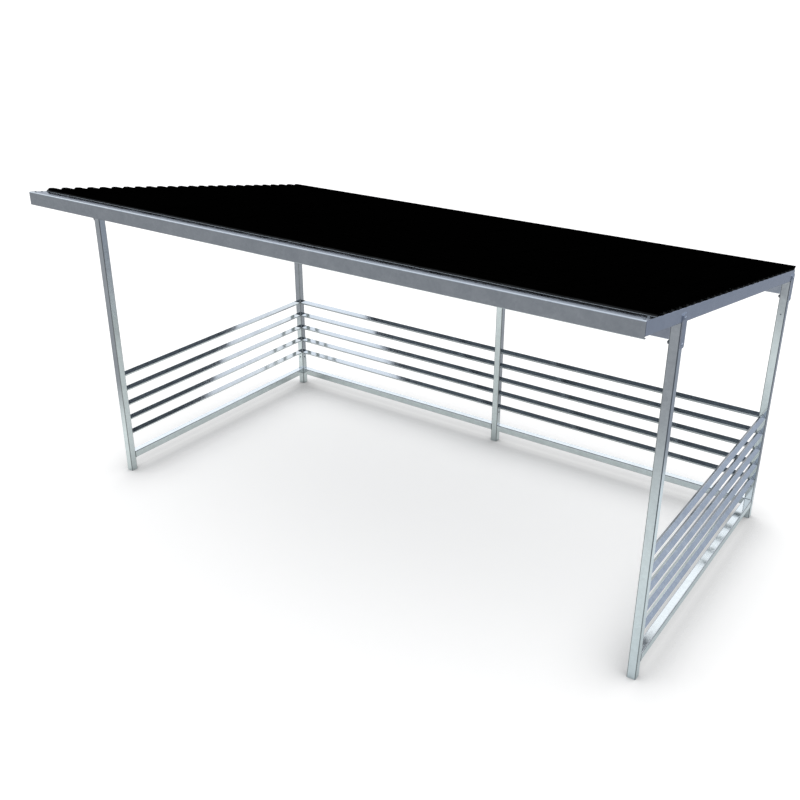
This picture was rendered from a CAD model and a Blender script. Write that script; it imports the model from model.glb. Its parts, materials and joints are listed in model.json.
import json
import math

import bpy
from mathutils import Matrix, Vector


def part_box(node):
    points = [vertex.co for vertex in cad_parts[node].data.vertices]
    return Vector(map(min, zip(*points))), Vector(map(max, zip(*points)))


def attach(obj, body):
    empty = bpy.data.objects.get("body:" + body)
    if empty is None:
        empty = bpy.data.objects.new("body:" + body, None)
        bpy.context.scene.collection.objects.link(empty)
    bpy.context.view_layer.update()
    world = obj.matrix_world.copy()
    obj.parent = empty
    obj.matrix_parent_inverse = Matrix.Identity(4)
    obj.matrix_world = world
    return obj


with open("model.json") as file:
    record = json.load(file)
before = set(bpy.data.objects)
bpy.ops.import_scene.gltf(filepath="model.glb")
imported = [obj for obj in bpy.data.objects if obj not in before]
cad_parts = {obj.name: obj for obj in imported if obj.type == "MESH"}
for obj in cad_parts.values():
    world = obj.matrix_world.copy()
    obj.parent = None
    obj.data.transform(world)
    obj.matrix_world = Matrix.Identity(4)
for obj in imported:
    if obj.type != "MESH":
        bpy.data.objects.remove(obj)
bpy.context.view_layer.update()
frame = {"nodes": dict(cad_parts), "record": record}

MM = 0.001
BODY = "root"
NODES = frame["nodes"]
SLOT_OF = {part["node"]: part["material_slot"] for part in frame["record"]["subparts"]}
CORNERS = ("front_left", "front_right", "back_left", "back_right")
BAYS = ("left", "right", "back_left", "back_right")
SHEETS = ("front_roof_sheet", "middle_roof_sheet", "back_roof_sheet")
ROOF_FALL = math.radians(9.5)
ROOF_UP = Vector((0, math.sin(ROOF_FALL), math.cos(ROOF_FALL)))


# Camera of the photograph

CAMERA_PLACE = (3.275, -4.782, 3.494)
CAMERA_PITCH_DOWN = 24.95
CAMERA_TURN_LEFT = 35.07
CAMERA_LENS = 43.29
CAMERA_SENSOR = 36
CAMERA_REACH = 500


def make_camera():
    bpy.ops.object.camera_add(location=CAMERA_PLACE)
    camera = bpy.context.object
    camera.name = "photo_camera"
    camera.rotation_euler = (math.radians(90 - CAMERA_PITCH_DOWN), 0, math.radians(CAMERA_TURN_LEFT))
    camera.data.lens = CAMERA_LENS
    camera.data.sensor_width = CAMERA_SENSOR
    camera.data.clip_end = CAMERA_REACH
    bpy.context.scene.camera = camera


# Material helpers


def linear(hex_colour):
    """An sRGB hex colour as linear red, green, blue and alpha."""
    channels = [int(hex_colour[i:i + 2], 16) / 255 for i in (1, 3, 5)]
    return [c / 12.92 if c <= 0.04045 else ((c + 0.055) / 1.055) ** 2.4 for c in channels] + [1.0]


def add_node(tree, kind, inputs=None, stops=(), **settings):
    """Adds a node. An input is a value, or a pair of a node and its output to link from. Stops are the
    places and colours of a ramp, in order."""
    made = tree.nodes.new("ShaderNode" + kind)
    for name, value in settings.items():
        setattr(made, name, value)
    for index, (position, colour) in enumerate(stops):
        elements = made.color_ramp.elements
        element = elements[index] if index < len(elements) else elements.new(position)
        element.position = position
        element.color = linear(colour)
    for name, value in (inputs or {}).items():
        if isinstance(value, tuple):
            tree.links.new(value[0].outputs[value[1]], made.inputs[name])
        else:
            made.inputs[name].default_value = value
    return made


def new_material(name):
    """An empty material with its node tree and output."""
    material = bpy.data.materials.new(name)
    material.use_nodes = True
    tree = material.node_tree
    tree.nodes.clear()
    return material, tree, add_node(tree, "OutputMaterial")


def per_metre(size_mm):
    """Texture scale that gives features of a size in millimetres."""
    return 1000 / size_mm


# Materials, with pattern sizes in millimetres


CRYSTAL_SIZE = 14
PATCH_SIZE = 90
GRAIN_SIZE = 5
RIPPLE_SIZE = 70
RIPPLE_DEPTH = 0.6 * MM
DULL_UNDERSIDE = 0.6
DULL_CORNER = 0.35
RAIL_ZONE = 200 * MM


def galvanised_steel(name, dark, light, roughness, corner_tone=1.0):
    """Hot-dip galvanised steel: a bright satin metal with faint zinc crystals, cloudy patches and a
    skin that is not quite flat, so reflections waver a little. Undersides, the posts' corners and the
    rails' upper corners are duller, as the zinc drained there."""
    material, tree, output = new_material(name)
    place = add_node(tree, "TexCoord")
    crystals = add_node(tree, "TexVoronoi", {"Vector": (place, "Object"), "Scale": per_metre(CRYSTAL_SIZE)})
    crystal_tone = add_node(tree, "SeparateColor", {"Color": (crystals, "Color")})
    patches = add_node(tree, "TexNoise", {
        "Vector": (place, "Object"), "Scale": per_metre(PATCH_SIZE), "Detail": 3.0, "Roughness": 0.55})
    grain = add_node(tree, "TexNoise", {
        "Vector": (place, "Object"), "Scale": per_metre(GRAIN_SIZE), "Detail": 2.0})
    tone = add_node(tree, "Math", {0: (crystal_tone, "Red"), 1: 0.3, 2: (patches, "Fac")},
                    operation="MULTIPLY_ADD")
    grainy = add_node(tree, "Math", {0: (grain, "Fac"), 1: 0.35, 2: (tone, "Value")},
                      operation="MULTIPLY_ADD")
    spread = add_node(tree, "MapRange", {"Value": (grainy, "Value"), "From Min": 0.5, "From Max": 1.15})
    colour = add_node(tree, "Mix", {0: (spread, "Result"), 6: linear(dark), 7: linear(light)},
                      data_type="RGBA")
    facing = add_node(tree, "NewGeometry")
    sides = add_node(tree, "SeparateXYZ", {"Vector": (facing, "Normal")})
    dulling = add_node(tree, "MapRange", {
        "Value": (sides, "Z"), "From Min": -0.6, "From Max": -0.3, "To Min": DULL_UNDERSIDE})
    slant = add_node(tree, "Math", {0: (sides, "X"), 1: (sides, "Y")}, operation="MULTIPLY")
    upright = add_node(tree, "Math", {0: (slant, "Value")}, operation="ABSOLUTE")
    tilt = add_node(tree, "Math", {0: 1.0, 1: (sides, "Z")}, operation="SUBTRACT")
    rising = add_node(tree, "Math", {0: (sides, "Z"), 1: (tilt, "Value")}, operation="MULTIPLY")
    level = add_node(tree, "SeparateXYZ", {"Vector": (place, "Object")})
    low = add_node(tree, "Math", {0: (level, "Z"), 1: RAIL_ZONE}, operation="LESS_THAN")
    lying = add_node(tree, "Math", {0: (rising, "Value"), 1: (low, "Value")}, operation="MULTIPLY")
    turning = add_node(tree, "Math", {0: (upright, "Value"), 1: (lying, "Value")}, operation="MAXIMUM")
    corner = add_node(tree, "MapRange", {
        "Value": (turning, "Value"), "From Min": 0.05, "From Max": 0.2,
        "To Min": 1.0, "To Max": corner_tone})
    shade = add_node(tree, "Math", {0: (dulling, "Result"), 1: (corner, "Result")}, operation="MULTIPLY")
    dulled = add_node(tree, "Mix", {0: 1.0, 6: (colour, 2), 7: (shade, "Value")},
                      data_type="RGBA", blend_type="MULTIPLY")
    gloss = add_node(tree, "MapRange", {
        "Value": (tone, "Value"), "From Min": 0.3, "From Max": 1.0,
        "To Min": roughness - 0.04, "To Max": roughness + 0.07})
    ripple = add_node(tree, "TexNoise", {
        "Vector": (place, "Object"), "Scale": per_metre(RIPPLE_SIZE), "Detail": 2.0})
    bump = add_node(tree, "Bump", {"Height": (ripple, "Fac"), "Strength": 0.25, "Distance": RIPPLE_DEPTH})
    shader = add_node(tree, "BsdfPrincipled", {
        "Base Color": (dulled, 2), "Metallic": 1.0, "Roughness": (gloss, "Result"),
        "Normal": (bump, "Normal")})
    tree.links.new(shader.outputs[0], output.inputs["Surface"])
    return material


STREAKS_PER_METRE = [18, 2, 2]
PEEL_SIZE = 3
PEEL_DEPTH = 0.1 * MM
BACKING_END = 1.94
DUST_FULL = 3 * MM
DUST_END = 10 * MM
CUT_FACING = -0.95


def coated_roof_sheet(name):
    """Coil-coated steel sheet: a dense matt black skin that gives back almost no light and wraps the ends,
    dust in the valleys, a grey backing coat underneath, and a bare line of metal along the cut front
    edge."""
    material, tree, output = new_material(name)
    place = add_node(tree, "TexCoord")
    runs = add_node(tree, "Mapping", {"Vector": (place, "Object"), "Scale": STREAKS_PER_METRE})
    streaks = add_node(tree, "TexNoise", {"Vector": (runs, "Vector"), "Scale": 1.0, "Detail": 4.0})
    skin = add_node(tree, "Mix", {0: (streaks, "Fac"), 6: linear("#000000"), 7: linear("#020202")},
                    data_type="RGBA")
    valley = min(ROOF_UP.dot(point.co) for point in NODES["back_roof_sheet"].data.vertices)
    height = add_node(tree, "VectorMath", {0: (place, "Object"), 1: ROOF_UP}, operation="DOT_PRODUCT")
    settled = add_node(tree, "MapRange", {
        "Value": (height, "Value"), "From Min": valley + DUST_END, "From Max": valley + DUST_FULL})
    dust = add_node(tree, "Mix", {0: (streaks, "Fac"), 6: linear("#0e0f10"), 7: linear("#3c3e40")},
                    data_type="RGBA")
    dusty = add_node(tree, "Mix", {0: (settled, "Result"), 6: (skin, 2), 7: (dust, 2)}, data_type="RGBA")
    backing = add_node(tree, "Mix", {0: (streaks, "Fac"), 6: linear("#5b636c"), 7: linear("#6c747d")},
                       data_type="RGBA")
    facing = add_node(tree, "NewGeometry")
    sides = add_node(tree, "SeparateXYZ", {"Vector": (facing, "Normal")})
    along = add_node(tree, "SeparateXYZ", {"Vector": (place, "Object")})
    from_middle = add_node(tree, "Math", {0: (along, "X")}, operation="ABSOLUTE")
    inside = add_node(tree, "Math", {0: (from_middle, "Value"), 1: BACKING_END}, operation="LESS_THAN")
    faces_down = add_node(tree, "Math", {0: (sides, "Z"), 1: 0.0}, operation="LESS_THAN")
    under = add_node(tree, "Math", {0: (faces_down, "Value"), 1: (inside, "Value")}, operation="MULTIPLY")
    colour = add_node(tree, "Mix", {0: (under, "Value"), 6: (dusty, 2), 7: (backing, 2)}, data_type="RGBA")
    front_cut = add_node(tree, "Math", {0: (sides, "Y"), 1: CUT_FACING}, operation="LESS_THAN")
    edged = add_node(tree, "Mix", {0: (front_cut, "Value"), 6: (colour, 2), 7: linear("#c2c6c8")},
                     data_type="RGBA")
    peel = add_node(tree, "TexNoise", {
        "Vector": (place, "Object"), "Scale": per_metre(PEEL_SIZE), "Detail": 1.0})
    bump = add_node(tree, "Bump", {"Height": (peel, "Fac"), "Strength": 0.2, "Distance": PEEL_DEPTH})
    shader = add_node(tree, "BsdfPrincipled", {
        "Base Color": (edged, 2), "Metallic": (front_cut, "Value"), "Roughness": 0.6,
        "Specular IOR Level": 0.0, "Normal": (bump, "Normal")})
    tree.links.new(shader.outputs[0], output.inputs["Surface"])
    return material


MOULD_GRAIN_SIZE = 1.5
MOULD_GRAIN_DEPTH = 0.1 * MM


def black_plastic(name):
    """Moulded polyethylene: a dull black with a fine moulded grain."""
    material, tree, output = new_material(name)
    place = add_node(tree, "TexCoord")
    grain = add_node(tree, "TexNoise", {"Vector": (place, "Object"), "Scale": per_metre(MOULD_GRAIN_SIZE)})
    bump = add_node(tree, "Bump", {
        "Height": (grain, "Fac"), "Strength": 0.3, "Distance": MOULD_GRAIN_DEPTH})
    gloss = add_node(tree, "MapRange", {"Value": (grain, "Fac"), "To Min": 0.4, "To Max": 0.6})
    shader = add_node(tree, "BsdfPrincipled", {
        "Base Color": linear("#17191b"), "Roughness": (gloss, "Result"), "Normal": (bump, "Normal")})
    tree.links.new(shader.outputs[0], output.inputs["Surface"])
    return material


# Light and floor


DOME_SHINE = 1.5
DOME_LEAN = -0.15
DOME_STOPS = [
    (0.0, "#969ba4"), (0.25, "#a0a9bb"), (0.36, "#dce2ea"), (0.5, "#eef2f6"), (0.61, "#f4f7fa"),
    (0.65, "#d4d9e2"), (1.0, "#d8dfec")]


def make_world():
    """A soft white studio with even light. In the metal it shows a grey horizon below a bright, faintly
    blue dome that is a little brighter on the left."""
    world = bpy.data.worlds.new("studio_dome")
    bpy.context.scene.world = world
    world.use_nodes = True
    tree = world.node_tree
    tree.nodes.clear()
    output = add_node(tree, "OutputWorld")
    rays = add_node(tree, "LightPath")
    place = add_node(tree, "TexCoord")
    direction = add_node(tree, "SeparateXYZ", {"Vector": (place, "Generated")})
    dome = add_node(tree, "ValToRGB", {"Fac": (direction, "Z")}, stops=DOME_STOPS)
    lean = add_node(tree, "Math", {0: (direction, "X"), 1: DOME_LEAN * DOME_SHINE, 2: DOME_SHINE},
                    operation="MULTIPLY_ADD")
    shown = add_node(tree, "Background", {"Color": (dome, "Color"), "Strength": (lean, "Value")})
    white = add_node(tree, "Background", {"Color": linear("#ffffff"), "Strength": 1.0})
    shader = add_node(tree, "MixShader", {
        0: (rays, "Is Glossy Ray"), 1: (white, "Background"), 2: (shown, "Background")})
    tree.links.new(shader.outputs[0], output.inputs["Surface"])


FLOOR_SIZE = 400.0
FLOOR_DROP = 0.2 * MM
FLOOR_GLOW = 0.57
POOL_GLOW = 0.25
CONTACT_REACH = 0.45
POOL_EDGES = (("X", -3.45, -2.45), ("X", 3.4, 2.4), ("Y", -4.4, -1.4), ("Y", 2.0, 1.1))
RIGHT_TINT = (1.0, 3.5)


def floor_material():
    """White studio floor that keeps a soft shadow under the roof and at the feet and pales to the white of
    the background. In the metal it is a pool of light that fades away from the shelter."""
    material, tree, output = new_material("white_floor")
    rays = add_node(tree, "LightPath")
    place = add_node(tree, "TexCoord")
    across = add_node(tree, "SeparateXYZ", {"Vector": (place, "Object")})
    pool = add_node(tree, "Value")
    pool.outputs[0].default_value = 1.0
    for axis, dark, light in POOL_EDGES:
        edge = add_node(tree, "MapRange", {"Value": (across, axis), "From Min": dark, "From Max": light},
                        interpolation_type="SMOOTHSTEP")
        pool = add_node(tree, "Math", {0: (pool, 0), 1: (edge, "Result")}, operation="MULTIPLY")
    fade = add_node(tree, "Mix", {0: (pool, 0), 6: linear("#9b9da2"), 7: linear("#f2f8f6")},
                    data_type="RGBA")
    rightness = add_node(tree, "MapRange", {
        "Value": (across, "X"), "From Min": RIGHT_TINT[0], "From Max": RIGHT_TINT[1]})
    tinted = add_node(tree, "Mix", {0: (rightness, "Result"), 6: (fade, 2), 7: linear("#ecf4ff")},
                      data_type="RGBA", blend_type="MULTIPLY")
    colour = add_node(tree, "Mix", {0: (rays, "Is Glossy Ray"), 6: linear("#e3e3e3"), 7: (tinted, 2)},
                      data_type="RGBA")
    contact = add_node(tree, "AmbientOcclusion", {"Color": (colour, 2), "Distance": CONTACT_REACH})
    matt = add_node(tree, "BsdfDiffuse", {"Color": (contact, "Color")})
    level = add_node(tree, "Mix", {0: (rays, "Is Glossy Ray"), 2: FLOOR_GLOW, 3: POOL_GLOW})
    glow = add_node(tree, "Emission", {"Color": (contact, "Color"), "Strength": (level, 0)})
    seen = add_node(tree, "AddShader", {0: (matt, "BSDF"), 1: (glow, "Emission")})
    plain = add_node(tree, "BsdfDiffuse", {"Color": linear("#ffffff")})
    shader = add_node(tree, "MixShader", {
        0: (rays, "Is Diffuse Ray"), 1: (seen, "Shader"), 2: (plain, "BSDF")})
    tree.links.new(shader.outputs[0], output.inputs["Surface"])
    return material


def make_floor():
    deselect_all()
    bpy.ops.mesh.primitive_plane_add(size=FLOOR_SIZE, location=(0, 0, -FLOOR_DROP))
    floor = bpy.context.object
    floor.name = "studio_floor"
    floor.data.materials.append(floor_material())


# Modelling helpers

SMOOTH_ANGLE = 35


def deselect_all():
    bpy.ops.object.select_all(action="DESELECT")


def edit_edges(piece, test):
    """Goes to edit mode with those edges selected whose two ends pass a test."""
    bpy.ops.object.mode_set(mode="EDIT")
    bpy.ops.mesh.select_mode(type="EDGE")
    bpy.ops.mesh.select_all(action="DESELECT")
    bpy.ops.object.mode_set(mode="OBJECT")
    points = piece.data.vertices
    for edge in piece.data.edges:
        edge.select = all(test(points[i].co) for i in edge.vertices)
    bpy.ops.object.mode_set(mode="EDIT")


def turned_disc(sides, radius, foot, height, chamfer, segments=2):
    """A disc or prism that stands on a foot height, with its upper rim bevelled."""
    deselect_all()
    bpy.ops.mesh.primitive_cylinder_add(vertices=sides, radius=radius, depth=height)
    piece = bpy.context.object
    edit_edges(piece, lambda point: point.z > 0)
    bpy.ops.mesh.bevel(offset=chamfer, segments=segments)
    bpy.ops.mesh.select_all(action="SELECT")
    bpy.ops.transform.translate(value=(0, 0, foot + height / 2))
    bpy.ops.object.mode_set(mode="OBJECT")
    return piece


def hexagon(across_flats, foot, height, chamfer):
    """A hexagonal head or nut that stands on a foot height."""
    return turned_disc(6, across_flats / 2 / math.cos(math.pi / 6), foot, height, chamfer)


def joined(pieces):
    """Joins pieces into the first of them."""
    deselect_all()
    for piece in pieces:
        piece.select_set(True)
    bpy.context.view_layer.objects.active = pieces[0]
    bpy.ops.object.join()
    return pieces[0]


def placed_copy(pattern, place, outward):
    """A copy of a pattern with its own mesh, set at a place with its +Z pointing outward."""
    copy = pattern.copy()
    copy.data = pattern.data.copy()
    bpy.context.collection.objects.link(copy)
    turn = Vector(outward).to_track_quat("Z", "Y").to_matrix().to_4x4()
    copy.data.transform(Matrix.Translation(place) @ turn)
    return copy


def finished(piece, name, material):
    """Names a piece, gives it its material and lets it ride with the frame."""
    piece.name = name
    piece.data.name = name
    piece.data.materials.clear()
    piece.data.materials.append(material)
    deselect_all()
    piece.select_set(True)
    bpy.context.view_layer.objects.active = piece
    bpy.ops.object.shade_smooth_by_angle(angle=math.radians(SMOOTH_ANGLE))
    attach(piece, BODY)
    return piece


def discard(pattern):
    bpy.data.objects.remove(pattern)


# Strap bolts: a low round head outside each strap, a washer and nut on the inner face of the post

HEAD_WIDTH = 20 * MM
HEAD_HEIGHT = 3.5 * MM
HEAD_ROUND = 3.2 * MM
NUT_ACROSS = 18 * MM
NUT_HEIGHT = 8 * MM
WASHER_WIDTH = 30 * MM
WASHER_HEIGHT = 2.5 * MM
WASHER_CHAMFER = 0.5 * MM
NUT_CHAMFER = 1.2 * MM
BOLT_WIDTH = 10 * MM
BOLT_END = 3.5 * MM
BOLT_CHAMFER = 1 * MM
BOLT_FROM_LOWER_END = 19 * MM
BOLT_FROM_UPPER_END = 22 * MM


def make_strap_bolts(head_material, nut_material):
    head = turned_disc(32, HEAD_WIDTH / 2, 0, HEAD_HEIGHT, HEAD_ROUND, segments=5)
    nut = joined([
        turned_disc(32, WASHER_WIDTH / 2, 0, WASHER_HEIGHT, WASHER_CHAMFER),
        hexagon(NUT_ACROSS, WASHER_HEIGHT, NUT_HEIGHT, NUT_CHAMFER),
        turned_disc(24, BOLT_WIDTH / 2, WASHER_HEIGHT + NUT_HEIGHT, BOLT_END, BOLT_CHAMFER),
    ])
    for corner in CORNERS:
        strap_low, strap_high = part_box(corner + "_strap")
        post_low, post_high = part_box(corner + "_post")
        side = 1 if strap_high.x > 0 else -1
        strap_face = strap_high.x if side > 0 else strap_low.x
        post_inner = post_low.x if side > 0 else post_high.x
        middle_y = (strap_low.y + strap_high.y) / 2
        upper_z = strap_high.z - BOLT_FROM_UPPER_END
        lower_z = strap_low.z + BOLT_FROM_LOWER_END
        heads = [placed_copy(head, (strap_face, middle_y, z), (side, 0, 0)) for z in (upper_z, lower_z)]
        finished(joined(heads), corner + "_bolt_heads", head_material)
        inner = placed_copy(nut, (post_inner, middle_y, lower_z), (-side, 0, 0))
        finished(inner, corner + "_nut", nut_material)
    discard(head)
    discard(nut)


# Roof screws, in every second valley over the side beams and rafters

SCREW_ACROSS = 8 * MM
SCREW_HEAD = 5 * MM
SCREW_WASHER = 16 * MM
SCREW_WASHER_HEIGHT = 2.6 * MM
SCREW_WASHER_CHAMFER = 1 * MM
SCREW_CHAMFER = 0.8 * MM
SHEET_SCREW_INSET = 20 * MM
ROOF_PROBE = 3.0
FIRST_CREST = 44 * MM
WAVE_PITCH = 98.5 * MM
SCREW_EVERY = 2


def roof_surface(x, y):
    """Place and slope of the highest sheet at a place in plan."""
    hits = []
    for sheet in SHEETS:
        found, place, normal, _ = NODES[sheet].ray_cast((x, y, ROOF_PROBE), (0, 0, -1))
        if found:
            hits.append((place.z, place.copy(), normal.copy()))
    return max(hits, key=lambda hit: hit[0])[1:]


def support_lines():
    """Lines along which the sheet is screwed down: near its ends over the side beams, and the rafters."""
    sheet_low, sheet_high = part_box("front_roof_sheet")
    lines = [sheet_low.x + SHEET_SCREW_INSET, sheet_high.x - SHEET_SCREW_INSET]
    for name in sorted(node for node in NODES if node.startswith("rafter_") and node[-1].isdigit()):
        low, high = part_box(name)
        lines.append((low.x + high.x) / 2)
    return sorted(lines)


def make_roof_screws(material):
    screw = joined([
        turned_disc(20, SCREW_WASHER / 2, 0, SCREW_WASHER_HEIGHT, SCREW_WASHER_CHAMFER),
        hexagon(SCREW_ACROSS, SCREW_WASHER_HEIGHT, SCREW_HEAD, SCREW_CHAMFER),
    ])
    first_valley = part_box("front_roof_sheet")[0].y + (FIRST_CREST + WAVE_PITCH / 2) * math.cos(ROOF_FALL)
    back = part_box("back_roof_sheet")[1].y
    step = WAVE_PITCH * math.cos(ROOF_FALL) * SCREW_EVERY
    screws = []
    for x in support_lines():
        for row in range(math.ceil((back - first_valley) / step)):
            place, normal = roof_surface(x, first_valley + row * step)
            screws.append(placed_copy(screw, place, normal))
    discard(screw)
    finished(joined(screws), "roof_screws", material)


# Fascia screws, two on the top flange over each side beam

FASCIA_SCREW_WIDTH = 12 * MM
FASCIA_SCREW_HEIGHT = 4 * MM
FASCIA_SCREW_ROUND = 3 * MM
FASCIA_SCREW_ROWS = (32 * MM, 76 * MM)


def make_fascia_screws(material):
    screw = turned_disc(20, FASCIA_SCREW_WIDTH / 2, 0, FASCIA_SCREW_HEIGHT, FASCIA_SCREW_ROUND, segments=4)
    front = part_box("fascia")[0].y
    screws = []
    for x in (support_lines()[0], support_lines()[-1]):
        for row in FASCIA_SCREW_ROWS:
            _, place, normal, _ = NODES["fascia"].ray_cast((x, front + row, ROOF_PROBE), (0, 0, -1))
            screws.append(placed_copy(screw, place, normal))
    discard(screw)
    finished(joined(screws), "fascia_screws", material)


# Weld beads round the ends of the rails, slats and cross beams

WELD_WIDTH = 4 * MM
SLAT_COUNT = 5
SLAT_SIDE = 30 * MM
SLAT_CORNER = 1 * MM
RAIL_SIDE = 50 * MM
RAIL_CORNER = 5 * MM
BEAM_WIDTH = 40 * MM
BEAM_HEIGHT = 80 * MM
BEAM_CORNER = 4 * MM


def weld_ring(width, height, corner, turned):
    """A round bead along a tube's outline, lying in the XY plane, turned by 45 degrees for a slat."""
    deselect_all()
    bpy.ops.mesh.primitive_plane_add(size=1)
    ring = bpy.context.object
    bpy.ops.object.mode_set(mode="EDIT")
    bpy.ops.transform.resize(value=(width, height, 1))
    bpy.ops.mesh.bevel(offset=corner, segments=3, affect="VERTICES")
    if turned:
        bpy.ops.transform.rotate(value=math.radians(45), orient_axis="Z", center_override=(0, 0, 0))
    bpy.ops.mesh.delete(type="ONLY_FACE")
    bpy.ops.mesh.select_all(action="SELECT")
    bpy.ops.mesh.subdivide(number_cuts=3)
    bpy.ops.object.mode_set(mode="OBJECT")
    bpy.ops.object.convert(target="CURVE")
    ring.data.bevel_depth = WELD_WIDTH / 2
    ring.data.bevel_resolution = 2
    bpy.ops.object.convert(target="MESH")
    return ring


def end_beads(ring, name):
    """Copies of a ring at both ends of a tube."""
    low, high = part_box(name)
    middle = (low + high) / 2
    axis = 0 if high.x - low.x > high.y - low.y else 1
    beads = []
    for end, sign in ((low, 1), (high, -1)):
        place = middle.copy()
        place[axis] = end[axis]
        outward = Vector((0, 0, 0))
        outward[axis] = sign
        beads.append(placed_copy(ring, place, outward))
    return beads


def make_welds(tube_material, beam_material):
    slat_ring = weld_ring(SLAT_SIDE, SLAT_SIDE, SLAT_CORNER, True)
    rail_ring = weld_ring(RAIL_SIDE, RAIL_SIDE, RAIL_CORNER, False)
    for bay in BAYS:
        beads = end_beads(rail_ring, bay + "_bottom_rail")
        for number in range(1, SLAT_COUNT + 1):
            beads += end_beads(slat_ring, f"{bay}_slat_{number}")
        finished(joined(beads), bay + "_welds", tube_material)
    beam_ring = weld_ring(BEAM_WIDTH, BEAM_HEIGHT, BEAM_CORNER, False)
    beads = end_beads(beam_ring, "front_beam") + end_beads(beam_ring, "back_beam")
    finished(joined(beads), "cross_beam_welds", beam_material)
    for ring in (slat_ring, rail_ring, beam_ring):
        discard(ring)


# Plugs in the posts' vent holes, on the faces that the railings meet, and rivets high on two back posts

PLUG_WIDTH = 12 * MM
PLUG_HEIGHT = 1.8 * MM
PLUG_ROUND = 1.1 * MM
PLUG_LEVEL = 247 * MM
RIVET_WIDTH = 9 * MM
RIVET_HEIGHT = 1.5 * MM
RIVET_ROUND = 1.2 * MM
RIVET_LEVEL = 1465 * MM
RAILED_FACES = {
    "front_left": [(0, 1, 0)],
    "front_right": [(0, 1, 0)],
    "back_left": [(0, -1, 0), (1, 0, 0)],
    "back_middle": [(-1, 0, 0), (1, 0, 0)],
    "back_right": [(0, -1, 0), (-1, 0, 0)],
}


def on_post(pattern, post, outward, level):
    """A copy of a pattern in the middle of a post's face, at a height."""
    low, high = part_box(post + "_post")
    place = (low + high) / 2
    for axis in (0, 1):
        if outward[axis]:
            place[axis] = high[axis] if outward[axis] > 0 else low[axis]
    place.z = level
    return placed_copy(pattern, place, outward)


def make_plugs(plug_material, rivet_material):
    plug = turned_disc(24, PLUG_WIDTH / 2, 0, PLUG_HEIGHT, PLUG_ROUND)
    plugs = []
    for post, faces in RAILED_FACES.items():
        plugs += [on_post(plug, post, face, PLUG_LEVEL) for face in faces]
    finished(joined(plugs), "post_plugs", plug_material)
    rivet = turned_disc(20, RIVET_WIDTH / 2, 0, RIVET_HEIGHT, RIVET_ROUND, segments=3)
    rivets = [on_post(rivet, post, (0, -1, 0), RIVET_LEVEL) for post in ("back_left", "back_right")]
    finished(joined(rivets), "post_rivets", rivet_material)
    discard(plug)
    discard(rivet)


# The shelter

make_camera()
make_world()
make_floor()

SLOT_MATERIALS = {
    "galvanised_tube": galvanised_steel("galvanised_tube", "#cacfd1", "#d8dddf", 0.1, DULL_CORNER),
    "galvanised_channel": galvanised_steel("galvanised_channel", "#aab1bc", "#babfc9", 0.2),
    "galvanised_fascia": galvanised_steel("galvanised_fascia", "#b0b6ba", "#c0c5c8", 0.12),
    "roof_sheet": coated_roof_sheet("coated_roof_sheet"),
}
for node_name, piece in NODES.items():
    for material_slot in piece.material_slots:
        material_slot.material = SLOT_MATERIALS[SLOT_OF[node_name]]

zinc_plate = galvanised_steel("zinc_plated_bolt", "#6c7176", "#868b90", 0.25)
make_strap_bolts(SLOT_MATERIALS["galvanised_channel"], zinc_plate)
make_roof_screws(zinc_plate)
make_fascia_screws(zinc_plate)
make_welds(SLOT_MATERIALS["galvanised_tube"], SLOT_MATERIALS["galvanised_channel"])
make_plugs(black_plastic("plug_plastic"), zinc_plate)

bpy.context.scene.view_settings.view_transform = "Standard"
